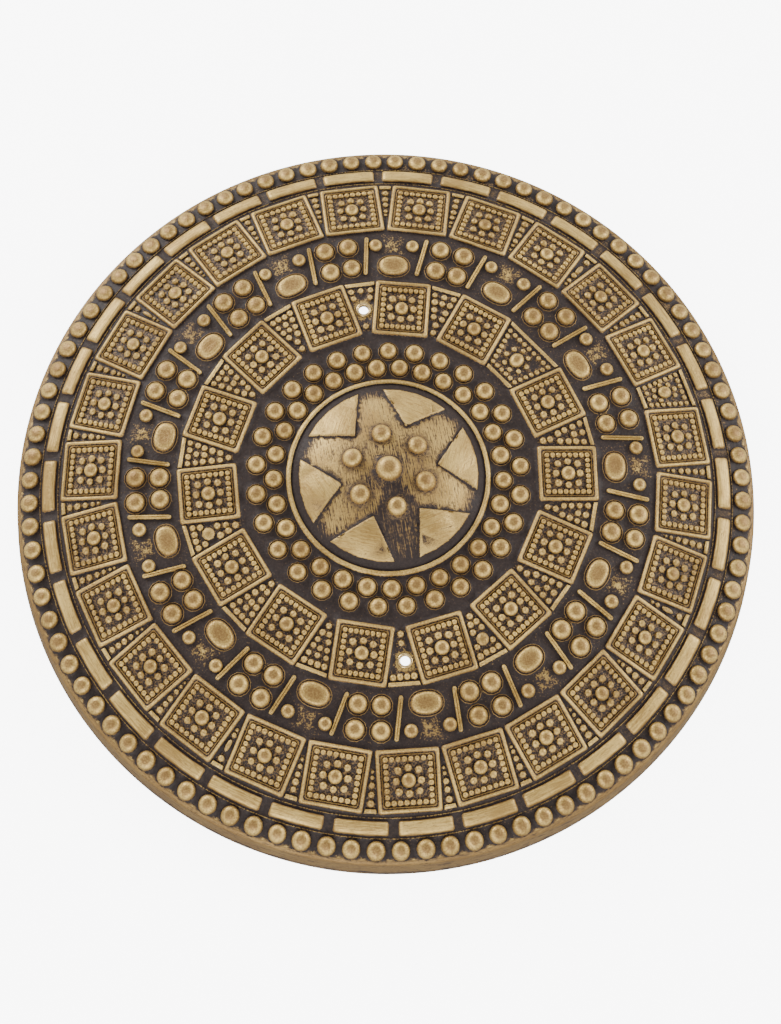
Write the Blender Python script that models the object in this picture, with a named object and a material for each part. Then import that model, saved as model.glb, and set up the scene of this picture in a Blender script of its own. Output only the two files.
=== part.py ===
"""Round costume buckler: one thin moulded shell with beads, tiles and bars, and two brass eyelets.

The shield lies face up on its rim. The origin is at the centre of the rim's lower edge, +Z is up,
and +Y points to the top of the pattern. Angles are counted from +X, anticlockwise from the front.
"""
import math

import bmesh
import bpy
import numpy as np
from mathutils import Vector
from mathutils.geometry import delaunay_2d_cdt

MM = 0.001
FULL_TURN = 2 * math.pi

# Shell: wall, skirt and the drop of the crown across each ring of the pattern
WALL = 1.2 * MM
SKIRT_HEIGHT = 14.25 * MM
SKIRT_DRAFT = math.radians(11.0)
ROLL_RADIUS = 3.0 * MM
BORDER_DROP = 6.6 * MM
OUTER_TILE_DROP = 7.8 * MM
BAND_DROP = 3.0 * MM
INNER_TILE_DROP = 1.5 * MM
BOSS_RISE = 12.0 * MM

# Centre boss: a ridge around a dome with raised triangles, which leave a six-armed star
BOSS_RADIUS = 42.7 * MM
BOSS_RIDGE_WIDTH = 2.2 * MM
BOSS_RIDGE_HEIGHT = 1.6 * MM
STAR_ARMS = 6
STAR_AT = math.radians(72.0)
FACET_SPAN = math.radians(45.0)
FACET_BASE_GAP = 3.0 * MM
FACET_TIP_RADIUS = 20.5 * MM
FACET_HEIGHT = 1.3 * MM
FACET_BEVEL = 1.2 * MM
STAR_BEAD = 8.5 * MM
STAR_BEAD_RADIUS = 16.3 * MM
CENTRE_BEAD = 11.4 * MM

# Bead field: two staggered rows around the boss
FIELD_BEAD = 7.6 * MM
FIELD_BEAD_GAP = 3.0 * MM
FIELD_INNER_MARGIN = 1.5 * MM
FIELD_OUTER_MARGIN = 3.5 * MM
FIELD_ROW_STEP = 7.7 * MM
FIELD_AT = math.radians(-2.6)

# Tiles: square framed tiles set side by side, with wedge gaps and one narrow panel in each ring
INNER_TILE_WIDTH = 24.8 * MM
OUTER_TILE_WIDTH = 27.0 * MM
INNER_TILE_LENGTH = 26.0 * MM
OUTER_TILE_LENGTH = 26.0 * MM
INNER_TILE_GAP = 2.4 * MM
OUTER_TILE_GAP = 0.3 * MM
TILE_FRAME = 2.3 * MM
TILE_FRAME_BEVEL = 0.7 * MM
TILE_FRAME_HEIGHT = 1.5 * MM
TILE_FLOOR_LIFT = 0.5 * MM
TILE_BOSS = 6.4 * MM
PANEL_WIDTH = 9.0 * MM
INNER_PANEL_AT = math.radians(43.7)
OUTER_PANEL_AT = math.radians(18.9)

# Band between the tile rings: ovals and groups of four beads, parted by thin rods
OVAL_LENGTH = 13.3 * MM
OVAL_WIDTH = 9.3 * MM
OVAL_HEIGHT = 2.2 * MM
OVAL_BEVEL = 1.7 * MM
OVAL_BEAD = 6.0 * MM
OVAL_BEAD_SPREAD = 16.4 * MM
GROUP_BEAD = 8.2 * MM
GROUP_ROW_STEP = 10.5 * MM
GROUP_SPREAD = 10.8 * MM
ROD_LENGTH = 19.0 * MM
ROD_WIDTH = 1.9 * MM
ROD_HEIGHT = 1.4 * MM
ROD_LEAN = math.radians(8.0)
BAND_GAP = 2.4 * MM
BAND_INNER_MARGIN = 2.9 * MM
BAND_OUTER_MARGIN = 2.8 * MM
BAND_AT = math.radians(3.6)

# Border: long bars end to end, then a row of beads along the shoulder
BAR_LENGTH = 23.6 * MM
BAR_WIDTH = 6.2 * MM
BAR_HEIGHT = 1.8 * MM
BAR_BEVEL = 1.1 * MM
BAR_GAP = 3.6 * MM
BAR_MARGIN = 2.2 * MM
BAR_AT = math.radians(1.0)
RIM_BEAD = 8.0 * MM
RIM_BEAD_GAP = 2.3 * MM
RIM_BEAD_MARGIN = 1.8 * MM
RIM_BEAD_AT = math.radians(1.9)
SHOULDER_MARGIN = 0.1 * MM

# Eyelets, set in wedge gaps of the inner tile ring: the angle whose nearest gap holds it, how far it
# stands off that gap's middle, and its distance from the centre
EYELETS = ((math.radians(97.0), 0.0, 77.2 * MM), (math.radians(277.0), math.radians(0.8), 79.6 * MM))
EYELET_BORE = 4.2 * MM
EYELET_BARREL = 5.0 * MM
EYELET_FLANGE = 6.6 * MM
EYELET_FLANGE_THICKNESS = 0.6 * MM
EYELET_EDGE = 0.2 * MM
SEAT_MARGIN = 0.5 * MM
CLEARANCE = 0.3 * MM
HOLE_CUTTER_LENGTH = 12.0 * MM

# Beads: rise as a share of the diameter, the narrow top and shoulder as shares of the radius, and
# how far from its middle, in diameters, a bead keeps the plain ground's points
BEAD_RISE = 0.46
BEAD_TOP = 0.55
DOME_SHOULDER = 0.72
BEAD_REACH = 0.8

# The rings were laid out by hand and drift as slow waves: cycles round the ring, swing and phase
FIELD_DRIFT = ((1, math.radians(1.75), math.radians(115.5)), (2, math.radians(1.3), math.radians(-22.0)))
INNER_TILE_DRIFT = ((1, math.radians(0.65), math.radians(146.0)),)
OUTER_WAVE = (2, math.radians(0.45), math.radians(-65.0))
BAND_DRIFT = ((1, math.radians(1.57), math.radians(-1.0)), OUTER_WAVE)
OUTER_TILE_DRIFT = ((1, math.radians(0.61), math.radians(-10.0)), OUTER_WAVE)
BAR_DRIFT = ((1, math.radians(0.44), math.radians(14.0)), OUTER_WAVE)
RIM_BEAD_DRIFT = ((1, math.radians(0.8), math.radians(150.0)), OUTER_WAVE)

# Finish: colour, metallic share and roughness
GOLD_FINISH = ((0.43, 0.31, 0.12), 0.4, 0.42)
BRASS_FINISH = ((0.72, 0.55, 0.25), 1.0, 0.28)

# Facets of the round shapes
RIM_SEGMENTS = 84
BEAD_SIDES = 6
CENTRE_BEAD_SIDES = 8
OVAL_SIDES = 8
SEAT_SEGMENTS = 12
EYELET_SEGMENTS = 12
DOME_STEPS = 4
ROLL_STEPS = 2
BACK_SPACING = 24.0 * MM
SHARP_ANGLE = math.radians(35.0)
MERGE_DISTANCE = 1e-7

# Radii of the rings, worked out from the centre outwards
INNER_ROW = BOSS_RADIUS + BOSS_RIDGE_WIDTH / 2 + FIELD_INNER_MARGIN + FIELD_BEAD / 2
OUTER_ROW = INNER_ROW + FIELD_ROW_STEP
INNER_TILES_IN = OUTER_ROW + FIELD_BEAD / 2 + FIELD_OUTER_MARGIN
INNER_TILES_OUT = math.hypot(INNER_TILES_IN + INNER_TILE_LENGTH, INNER_TILE_WIDTH / 2)
BAND_INNER_ROW = INNER_TILES_OUT + BAND_INNER_MARGIN + GROUP_BEAD / 2
BAND_OUTER_ROW = BAND_INNER_ROW + GROUP_ROW_STEP
OUTER_TILES_IN = BAND_OUTER_ROW + GROUP_BEAD / 2 + BAND_OUTER_MARGIN
OUTER_TILES_OUT = math.hypot(OUTER_TILES_IN + OUTER_TILE_LENGTH, OUTER_TILE_WIDTH / 2)
BAR_RING = OUTER_TILES_OUT + BAR_MARGIN + BAR_WIDTH / 2
RIM_ROW = BAR_RING + BAR_WIDTH / 2 + RIM_BEAD_MARGIN + RIM_BEAD / 2
SHOULDER = RIM_ROW + RIM_BEAD / 2 + SHOULDER_MARGIN


def outer_profile():
    """Radius and height of the plain outer skin, from the centre out to the rim's lower edge."""
    border_slope = math.atan2(BORDER_DROP, SHOULDER - OUTER_TILES_OUT)
    skirt_slope = math.pi / 2 - SKIRT_DRAFT
    arc_radius = SHOULDER - ROLL_RADIUS * math.sin(border_slope)
    arc_height = SKIRT_HEIGHT - ROLL_RADIUS * math.cos(skirt_slope)
    roll = []
    for step in range(ROLL_STEPS + 1):
        slope = border_slope + (skirt_slope - border_slope) * step / ROLL_STEPS
        roll.append((arc_radius + ROLL_RADIUS * math.sin(slope), arc_height + ROLL_RADIUS * math.cos(slope)))
    rim = (roll[-1][0] + SKIRT_HEIGHT * math.tan(SKIRT_DRAFT), 0.0)

    tiles_out = roll[0][1] + BORDER_DROP
    band_out = tiles_out + OUTER_TILE_DROP
    band_in = band_out + BAND_DROP
    field = band_in + INNER_TILE_DROP
    dome = []
    for step in range(DOME_STEPS + 1):
        share = step / DOME_STEPS
        dome.append((BOSS_RADIUS * share, field + BOSS_RISE * (1 - share ** 2)))
    rings = [(INNER_TILES_IN, field), (INNER_TILES_OUT, band_in),
             (OUTER_TILES_IN, band_out), (OUTER_TILES_OUT, tiles_out)]
    return dome + rings + roll + [rim]


def inner_profile(outer):
    """The outer profile moved in by the wall, with its last point on the rim's plane."""
    line = [Vector(point) for point in outer]
    moved = [(0.0, line[0].y - WALL)]
    for before, here, after in zip(line, line[1:], line[2:]):
        first = (here - before).normalized()
        second = (after - here).normalized()
        normal = (Vector((first.y, -first.x)) + Vector((second.y, -second.x))).normalized()
        reach = WALL / normal.dot(Vector((first.y, -first.x)))
        moved.append(tuple(here + normal * reach))
    moved.append((line[-1].x - WALL / math.cos(SKIRT_DRAFT), 0.0))
    return moved


OUTER = outer_profile()
INNER = inner_profile(OUTER)
RIM_RADIUS = OUTER[-1][0]


def height_on(profile, radius):
    """Height of a profile at a radius."""
    return float(np.interp(radius, [point[0] for point in profile], [point[1] for point in profile]))


def at(angle, radius):
    """Plan position at an angle and a radius."""
    return Vector((radius * math.cos(angle), radius * math.sin(angle)))


def drifted(angle, waves):
    """An angle moved by a ring's drift."""
    return angle + sum(swing * math.sin(cycles * angle + phase) for cycles, swing, phase in waves)


def even_ring(count, start, waves=()):
    """Angles spaced evenly round a ring, then moved by its drift."""
    return [drifted(start + FULL_TURN * index / count, waves) for index in range(count)]


def fitting(radius, pitch):
    """How many times a pitch fits round a ring."""
    return int(FULL_TURN * radius / pitch)


def round_corners(centre, sides, half_width, half_length, turn):
    """Corners of a regular polygon or oval whose length points along the angle turn."""
    corners = []
    for index in range(sides):
        angle = FULL_TURN * index / sides
        local = Vector((half_length * math.cos(angle), half_width * math.sin(angle)))
        corners.append(centre + turned(local, turn))
    return corners


def box_corners(centre, half_width, half_length, turn):
    """Corners of a rectangle whose length points along the angle turn."""
    signs = ((1, 1), (-1, 1), (-1, -1), (1, -1))
    return [centre + turned(Vector((half_length * u, half_width * v)), turn) for u, v in signs]


def turned(local, angle):
    """A plan vector turned by an angle."""
    cosine, sine = math.cos(angle), math.sin(angle)
    return Vector((local.x * cosine - local.y * sine, local.x * sine + local.y * cosine))


class Skin:
    """One face of the shell: plan points with heights, the edges between them, and taken ground."""

    def __init__(self, profile):
        self.profile = profile
        self.points = []
        self.heights = []
        self.edges = []
        self.taken = []

    def ground(self, place):
        return height_on(self.profile, place.length)

    def add(self, place, height):
        self.points.append(Vector(place))
        self.heights.append(height)
        return len(self.points) - 1

    def loop(self, corners, lift=0.0):
        """A closed outline raised evenly over the ground."""
        indices = [self.add(corner, self.ground(corner) + lift) for corner in corners]
        self.edges += list(zip(indices, indices[1:] + indices[:1]))

    def level_loop(self, corners, height):
        """A closed outline at one height."""
        indices = [self.add(corner, height) for corner in corners]
        self.edges += list(zip(indices, indices[1:] + indices[:1]))

    def take(self, centre, reach):
        """Keeps the plain ground's own points out of a circle."""
        self.taken.append((centre, reach))

    def free(self, place):
        return all((place - centre).length > reach for centre, reach in self.taken)

    def ground_ring(self, radius, count, start=0.0, joined=False):
        """Points of the plain ground on a circle, joined into an outline where nothing crosses it."""
        places = [at(angle, radius) for angle in even_ring(count, start)]
        if joined:
            self.loop(places)
            return
        for place in places:
            if self.free(place):
                self.add(place, self.ground(place))

    def build(self, mesh, facing):
        """Triangulates the plan and adds it to a bmesh, facing up (1) or down (-1)."""
        flat, _, faces, sources, _, _ = delaunay_2d_cdt(self.points, self.edges, [], 0, MERGE_DISTANCE)
        corners = []
        for place, source in zip(flat, sources):
            height = self.heights[source[0]] if source else self.ground(place)
            corners.append(mesh.verts.new((place.x, place.y, height)))
        for face in faces:
            triangle = [corners[index] for index in face]
            area = (flat[face[1]] - flat[face[0]]).cross(flat[face[2]] - flat[face[0]])
            if area * facing < 0:
                triangle.reverse()
            mesh.faces.new(triangle)


def dome(skin, centre, diameter, sides):
    """A large round bead: its foot, a shoulder ring and its top."""
    rise = BEAD_RISE * diameter
    turn = math.atan2(centre.y, centre.x)
    half = diameter / 2
    shoulder = half * DOME_SHOULDER
    skin.loop(round_corners(centre, sides, half, half, turn))
    skin.loop(round_corners(centre, sides, shoulder, shoulder, turn), rise * DOME_SHOULDER)
    skin.add(centre, skin.ground(centre) + rise)
    skin.take(centre, diameter * BEAD_REACH)


def bead(skin, centre, diameter, base=0.0):
    """A small round bead: its foot and a narrow top."""
    rise = BEAD_RISE * diameter
    turn = math.atan2(centre.y, centre.x)
    half = diameter / 2
    top = half * BEAD_TOP
    skin.loop(round_corners(centre, BEAD_SIDES, half, half, turn), base)
    skin.loop(round_corners(centre, BEAD_SIDES // 2, top, top, turn), base + rise)
    skin.take(centre, diameter * BEAD_REACH)


def plate(skin, corners, inner_corners, height):
    """A flat raised field: its foot and the edge of its top."""
    skin.loop(corners)
    skin.loop(inner_corners, height)


def add_boss(skin):
    """Ridge, raised triangles and beads of the centre boss."""
    half_ridge = BOSS_RIDGE_WIDTH / 2
    ridge_segments = RIM_SEGMENTS // 2
    skin.ground_ring(BOSS_RADIUS + half_ridge, ridge_segments, joined=True)
    skin.loop([at(angle, BOSS_RADIUS) for angle in even_ring(ridge_segments, 0.0)], BOSS_RIDGE_HEIGHT)
    skin.ground_ring(BOSS_RADIUS - half_ridge, ridge_segments, joined=True)
    base_radius = BOSS_RADIUS - half_ridge - FACET_BASE_GAP
    for index in range(STAR_ARMS):
        angle = STAR_AT + FULL_TURN * index / STAR_ARMS
        foot = [at(angle - FACET_SPAN / 2, base_radius), at(angle, base_radius),
                at(angle + FACET_SPAN / 2, base_radius), at(angle, FACET_TIP_RADIUS)]
        middle = sum(foot, Vector((0.0, 0.0))) / len(foot)
        shrink = 1 - FACET_BEVEL / (base_radius - middle.length)
        top = [middle + (corner - middle) * shrink for corner in foot]
        plate(skin, foot, top, FACET_HEIGHT)
        arm = angle + math.pi / STAR_ARMS
        dome(skin, at(arm, STAR_BEAD_RADIUS), STAR_BEAD, BEAD_SIDES)
    dome(skin, Vector((0.0, 0.0)), CENTRE_BEAD, CENTRE_BEAD_SIDES)


def add_bead_field(skin):
    """Two staggered rows of beads around the boss."""
    count = fitting(INNER_ROW, FIELD_BEAD + FIELD_BEAD_GAP)
    half_step = math.pi / count
    for angle in even_ring(count, FIELD_AT, FIELD_DRIFT):
        bead(skin, at(angle, INNER_ROW), FIELD_BEAD)
    for angle in even_ring(count, FIELD_AT + half_step, FIELD_DRIFT):
        bead(skin, at(angle, OUTER_ROW), FIELD_BEAD)


def tile_angles(inner_edge, width, gap, panel_at, waves):
    """Angles of a ring's tiles, spread over what its narrow panel leaves."""
    tile_turn = 2 * math.atan((width + gap) / 2 / inner_edge)
    panel_turn = 2 * math.atan((PANEL_WIDTH + gap) / 2 / inner_edge)
    count = int((FULL_TURN - panel_turn) / tile_turn)
    pitch = (FULL_TURN - panel_turn) / count
    first = panel_at + (panel_turn + pitch) / 2
    return [drifted(first + pitch * index, waves) for index in range(count)]


def add_tiles(skin, angles, inner_edge, width, length, panel_at):
    """A ring of square tiles, each a raised frame round a low floor with a bead, and the panel's bead."""
    half_width = width / 2
    half_length = length / 2
    for angle in angles:
        centre = at(angle, inner_edge + half_length)
        for inset, lift in ((0.0, 0.0), (TILE_FRAME_BEVEL, TILE_FRAME_HEIGHT), (TILE_FRAME, TILE_FLOOR_LIFT)):
            skin.loop(box_corners(centre, half_width - inset, half_length - inset, angle), lift)
        bead(skin, centre, TILE_BOSS, base=TILE_FLOOR_LIFT)
        skin.take(centre, math.hypot(half_width, half_length))
    bead(skin, at(panel_at, inner_edge + half_length), TILE_BOSS)


def add_band(skin):
    """Ovals with two small beads each and groups of four beads, parted by leaning rods."""
    room = OVAL_LENGTH + GROUP_SPREAD + GROUP_BEAD + 2 * ROD_WIDTH + 4 * BAND_GAP
    count = fitting(BAND_INNER_ROW, room)
    quarter = math.pi / 2 / count
    for angle in even_ring(count, BAND_AT, BAND_DRIFT):
        centre = at(angle, BAND_INNER_ROW)
        foot = round_corners(centre, OVAL_SIDES, OVAL_LENGTH / 2, OVAL_WIDTH / 2, angle)
        top = round_corners(centre, OVAL_SIDES, OVAL_LENGTH / 2 - OVAL_BEVEL, OVAL_WIDTH / 2 - OVAL_BEVEL, angle)
        plate(skin, foot, top, OVAL_HEIGHT)
        skin.take(centre, OVAL_LENGTH / 2)
        for side in (-1, 1):
            bead(skin, at(angle + side * OVAL_BEAD_SPREAD / 2 / BAND_OUTER_ROW, BAND_OUTER_ROW), OVAL_BEAD)
    for angle in even_ring(count, BAND_AT + 2 * quarter, BAND_DRIFT):
        for radius in (BAND_INNER_ROW, BAND_OUTER_ROW):
            for side in (-1, 1):
                bead(skin, at(angle + side * GROUP_SPREAD / 2 / BAND_OUTER_ROW, radius), GROUP_BEAD)
    for angle in even_ring(2 * count, BAND_AT + quarter, BAND_DRIFT):
        centre = at(angle, (BAND_INNER_ROW + BAND_OUTER_ROW) / 2)
        turn = angle - ROD_LEAN
        skin.loop(box_corners(centre, ROD_WIDTH / 2, ROD_LENGTH / 2, turn))
        reach = turned(Vector((ROD_LENGTH / 2 - ROD_WIDTH, 0.0)), turn)
        ends = [skin.add(end, skin.ground(end) + ROD_HEIGHT) for end in (centre - reach, centre + reach)]
        skin.edges.append(tuple(ends))
        skin.take(centre, ROD_LENGTH / 2)


def add_border(skin):
    """Bars end to end, then the row of rim beads."""
    for angle in even_ring(fitting(BAR_RING, BAR_LENGTH + BAR_GAP), BAR_AT, BAR_DRIFT):
        centre = at(angle, BAR_RING)
        foot = box_corners(centre, BAR_LENGTH / 2, BAR_WIDTH / 2, angle)
        top = box_corners(centre, BAR_LENGTH / 2 - BAR_BEVEL, BAR_WIDTH / 2 - BAR_BEVEL, angle)
        plate(skin, foot, top, BAR_HEIGHT)
        skin.take(centre, BAR_LENGTH / 2)
    for angle in even_ring(fitting(RIM_ROW, RIM_BEAD + RIM_BEAD_GAP), RIM_BEAD_AT, RIM_BEAD_DRIFT):
        bead(skin, at(angle, RIM_ROW), RIM_BEAD)


def nearest_gap(angles, wanted):
    """The middle of the gap between two neighbouring tiles that lies nearest to an angle."""
    middles = [(first + second) / 2 for first, second in zip(angles, angles[1:])]
    return min(middles, key=lambda middle: abs(math.remainder(middle - wanted, FULL_TURN)))


def eyelet_places(angles):
    """Plan positions of the eyelets."""
    return [at(nearest_gap(angles, wanted) + lean, distance) for wanted, lean, distance in EYELETS]


def add_seats(skin, places, drop=0.0):
    """Level seats for the eyelets' flanges."""
    radius = EYELET_FLANGE / 2 + SEAT_MARGIN
    for place in places:
        turn = math.atan2(place.y, place.x)
        skin.level_loop(round_corners(place, SEAT_SEGMENTS, radius, radius, turn), seat_height(place) - drop)
        skin.take(place, radius + SEAT_MARGIN)


def seat_height(place):
    """Height of the shell's front at an eyelet."""
    return height_on(OUTER, place.length)


def front_skin(tiles_in, tiles_out, places):
    """The ornamented front of the shell."""
    skin = Skin(OUTER)
    add_boss(skin)
    add_bead_field(skin)
    add_seats(skin, places)
    add_tiles(skin, tiles_in, INNER_TILES_IN, INNER_TILE_WIDTH, INNER_TILE_LENGTH, INNER_PANEL_AT)
    add_band(skin)
    add_tiles(skin, tiles_out, OUTER_TILES_IN, OUTER_TILE_WIDTH, OUTER_TILE_LENGTH, OUTER_PANEL_AT)
    add_border(skin)
    for radius, count in ((INNER_TILES_OUT, 2 * len(tiles_in)), (OUTER_TILES_IN, 2 * len(tiles_out)),
                          (OUTER_TILES_OUT, 3 * len(tiles_out))):
        skin.ground_ring(radius, count)
    for radius, _ in OUTER[-ROLL_STEPS - 2:]:
        skin.ground_ring(radius, RIM_SEGMENTS, joined=True)
    return skin


def back_skin(places):
    """The plain back of the shell."""
    skin = Skin(INNER)
    add_seats(skin, places, drop=WALL)
    skin.add(Vector((0.0, 0.0)), INNER[0][1])
    for radius, _ in INNER[1:-ROLL_STEPS - 2]:
        skin.ground_ring(radius, fitting(radius, BACK_SPACING))
    for radius, _ in INNER[-ROLL_STEPS - 2:-1]:
        skin.ground_ring(radius, RIM_SEGMENTS // 2, joined=True)
    skin.ground_ring(INNER[-1][0], RIM_SEGMENTS, joined=True)
    return skin


def material(name, color, metallic, roughness):
    """A plain Principled material."""
    result = bpy.data.materials.new(name)
    result.use_nodes = True
    shader = result.node_tree.nodes["Principled BSDF"]
    shader.inputs["Base Color"].default_value = (*color, 1.0)
    shader.inputs["Metallic"].default_value = metallic
    shader.inputs["Roughness"].default_value = roughness
    return result


def link(name, data, finish):
    """A named object in the scene with its material."""
    obj = bpy.data.objects.new(name, data)
    bpy.context.scene.collection.objects.link(obj)
    data.materials.append(finish)
    return obj


def make_shell(front, back, finish):
    """Front and back skins closed along the rim."""
    mesh = bmesh.new()
    front.build(mesh, 1)
    back.build(mesh, -1)
    rim_edges = [edge for edge in mesh.edges if edge.is_boundary]
    bmesh.ops.bridge_loops(mesh, edges=rim_edges)
    bmesh.ops.recalc_face_normals(mesh, faces=mesh.faces)
    data = bpy.data.meshes.new("shield_shell")
    mesh.to_mesh(data)
    mesh.free()
    return link("shield_shell", data, finish)


def drill(shell, index, place):
    """Cuts an eyelet's hole through the shell."""
    mesh = bmesh.new()
    radius = EYELET_BARREL / 2 + CLEARANCE
    bmesh.ops.create_cone(mesh, cap_ends=True, segments=EYELET_SEGMENTS, radius1=radius, radius2=radius,
                          depth=HOLE_CUTTER_LENGTH)
    data = bpy.data.meshes.new("eyelet_hole")
    mesh.to_mesh(data)
    mesh.free()
    cutter = bpy.data.objects.new(f"eyelet_hole_cutter_{index}", data)
    bpy.context.scene.collection.objects.link(cutter)
    cutter.location = (place.x, place.y, seat_height(place) - WALL / 2)
    cutter.hide_render = True
    cutter.display_type = "WIRE"
    cut = shell.modifiers.new("eyelet_hole", "BOOLEAN")
    cut.operation = "DIFFERENCE"
    cut.solver = "EXACT"
    cut.object = cutter


def make_eyelet(name, place, finish):
    """A hollow rivet: a barrel through the wall with a flange on each face."""
    bore = EYELET_BORE / 2
    barrel = EYELET_BARREL / 2
    flange = EYELET_FLANGE / 2
    front = CLEARANCE
    back = -WALL - CLEARANCE
    top = front + EYELET_FLANGE_THICKNESS
    bottom = back - EYELET_FLANGE_THICKNESS
    outline = ((bore, bottom + EYELET_EDGE), (bore + EYELET_EDGE, bottom), (flange - EYELET_EDGE, bottom),
               (flange, bottom + EYELET_EDGE), (flange, back), (barrel, back), (barrel, front), (flange, front),
               (flange - EYELET_EDGE, top), (bore + EYELET_EDGE, top), (bore, top - EYELET_EDGE))
    mesh = bmesh.new()
    corners = [mesh.verts.new((radius, 0.0, height)) for radius, height in outline]
    edges = [mesh.edges.new(pair) for pair in zip(corners, corners[1:] + corners[:1])]
    bmesh.ops.spin(mesh, geom=corners + edges, cent=(0, 0, 0), axis=(0, 0, 1), angle=FULL_TURN,
                   steps=EYELET_SEGMENTS, use_merge=True)
    bmesh.ops.remove_doubles(mesh, verts=mesh.verts, dist=MERGE_DISTANCE)
    bmesh.ops.recalc_face_normals(mesh, faces=mesh.faces)
    data = bpy.data.meshes.new(name)
    mesh.to_mesh(data)
    mesh.free()
    data.shade_smooth()
    data.set_sharp_from_angle(angle=SHARP_ANGLE)
    eyelet = link(name, data, finish)
    eyelet.location = (place.x, place.y, seat_height(place))


def main():
    for obj in list(bpy.data.objects):
        bpy.data.objects.remove(obj, do_unlink=True)
    tiles_in = tile_angles(INNER_TILES_IN, INNER_TILE_WIDTH, INNER_TILE_GAP, INNER_PANEL_AT, INNER_TILE_DRIFT)
    tiles_out = tile_angles(OUTER_TILES_IN, OUTER_TILE_WIDTH, OUTER_TILE_GAP, OUTER_PANEL_AT, OUTER_TILE_DRIFT)
    places = eyelet_places(tiles_in)
    gold = material("gold_paint", *GOLD_FINISH)
    brass = material("brass", *BRASS_FINISH)
    shell = make_shell(front_skin(tiles_in, tiles_out, places), back_skin(places), gold)
    for index, (name, place) in enumerate(zip(("eyelet_top", "eyelet_bottom"), places)):
        drill(shell, index, place)
        make_eyelet(name, place, brass)


main()
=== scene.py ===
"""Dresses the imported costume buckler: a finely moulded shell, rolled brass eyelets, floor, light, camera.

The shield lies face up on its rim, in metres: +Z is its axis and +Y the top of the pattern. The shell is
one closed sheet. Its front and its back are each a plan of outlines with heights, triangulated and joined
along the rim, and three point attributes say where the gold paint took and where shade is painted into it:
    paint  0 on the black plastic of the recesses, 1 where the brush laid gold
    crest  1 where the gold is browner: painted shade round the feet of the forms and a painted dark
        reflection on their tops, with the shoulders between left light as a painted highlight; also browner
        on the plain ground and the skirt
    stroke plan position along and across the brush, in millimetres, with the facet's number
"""
import math
import random

import bmesh
import bpy
import numpy as np
from mathutils import Matrix, Vector
from mathutils.geometry import delaunay_2d_cdt


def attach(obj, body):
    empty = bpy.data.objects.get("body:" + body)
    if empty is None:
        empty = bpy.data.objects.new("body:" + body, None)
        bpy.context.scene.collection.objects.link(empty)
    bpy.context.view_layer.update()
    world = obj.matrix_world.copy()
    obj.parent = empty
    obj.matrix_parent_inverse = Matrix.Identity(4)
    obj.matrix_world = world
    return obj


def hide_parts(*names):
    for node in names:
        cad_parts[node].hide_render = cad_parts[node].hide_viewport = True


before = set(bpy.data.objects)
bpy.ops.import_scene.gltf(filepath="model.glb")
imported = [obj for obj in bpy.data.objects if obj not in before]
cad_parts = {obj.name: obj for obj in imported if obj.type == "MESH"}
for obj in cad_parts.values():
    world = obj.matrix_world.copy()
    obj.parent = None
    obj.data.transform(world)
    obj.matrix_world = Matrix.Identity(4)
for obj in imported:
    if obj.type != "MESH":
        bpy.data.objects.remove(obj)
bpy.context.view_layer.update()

MM = 0.001
FULL_TURN = 2 * math.pi
RANDOM = random.Random(11)
CENTRE = Vector((0.0, 0.0))

# Shell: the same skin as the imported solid
WALL = 1.2 * MM
SKIRT_HEIGHT = 14.25 * MM
SKIRT_DRAFT = math.radians(11.0)
ROLL_RADIUS = 3.0 * MM
BORDER_DROP = 6.6 * MM
OUTER_TILE_DROP = 7.8 * MM
BAND_DROP = 3.0 * MM
INNER_TILE_DROP = 1.5 * MM
BOSS_RISE = 12.0 * MM

# Centre boss
BOSS_RADIUS = 42.7 * MM
BOSS_RIDGE_WIDTH = 2.2 * MM
BOSS_RIDGE_HEIGHT = 1.6 * MM
STAR_ARMS = 6
STAR_AT = math.radians(72.0)
FACET_SPAN = math.radians(45.0)
FACET_BASE_GAP = 3.0 * MM
FACET_TIP_RADIUS = 20.5 * MM
FACET_HEIGHT = 1.3 * MM
FACET_POINT_STEP = 2.4 * MM
# Per raised triangle: how far its tip leans and how its brush strokes run, in degrees
FACET_SKEW = (-2.0, 2.0, 5.0, 0.0, -4.0, -4.0)
FACET_BRUSH = (84.0, -58.0, 112.0, 96.0, 70.0, 62.0)
STAR_BRUSH = math.radians(100.0)
# Per arm of the lower star, from the one after the first triangle: how well the paint took
ARM_PAINT = (0.68, 0.68, 0.58, 0.28, 0.70, 0.62)
FACET_CORE_INSET = 2.2 * MM
STAR_POINT_STEP = 2.2 * MM
STAR_BEAD = 8.5 * MM
STAR_BEAD_RADIUS = 16.3 * MM
CENTRE_BEAD = 11.4 * MM

# Bead field
FIELD_BEAD = 7.6 * MM
FIELD_BEAD_GAP = 3.0 * MM
FIELD_INNER_MARGIN = 1.5 * MM
FIELD_OUTER_MARGIN = 3.5 * MM
FIELD_ROW_STEP = 7.7 * MM
FIELD_AT = math.radians(-2.6)

# Tiles
INNER_TILE_WIDTH = 24.8 * MM
OUTER_TILE_WIDTH = 27.0 * MM
INNER_TILE_LENGTH = 26.0 * MM
OUTER_TILE_LENGTH = 26.0 * MM
INNER_TILE_GAP = 2.4 * MM
OUTER_TILE_GAP = 0.3 * MM
TILE_BOSS = 6.4 * MM
PANEL_WIDTH = 9.0 * MM
INNER_PANEL_AT = math.radians(43.7)
OUTER_PANEL_AT = math.radians(18.9)
TILE_CORNER = 0.9 * MM
FLOOR_LIFT = 0.35 * MM
BORDER_GRAIN = 2.7 * MM
BORDER_GRAIN_STEP = 2.5 * MM
BORDER_INSET = 4.25 * MM
SATELLITE_GRAIN = 3.5 * MM
SATELLITE_CORNER = 4.3 * MM
SATELLITE_SIDE = 5.2 * MM
WEDGE_GRAIN = 3.0 * MM
CAP_WIDTH = 2.0 * MM
PANEL_GRAIN = 2.45 * MM
PANEL_GRAIN_STEP = 2.75 * MM
PANEL_BORDER_START = 4.0 * MM
PANEL_BORDER_INSET = 1.5 * MM
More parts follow.
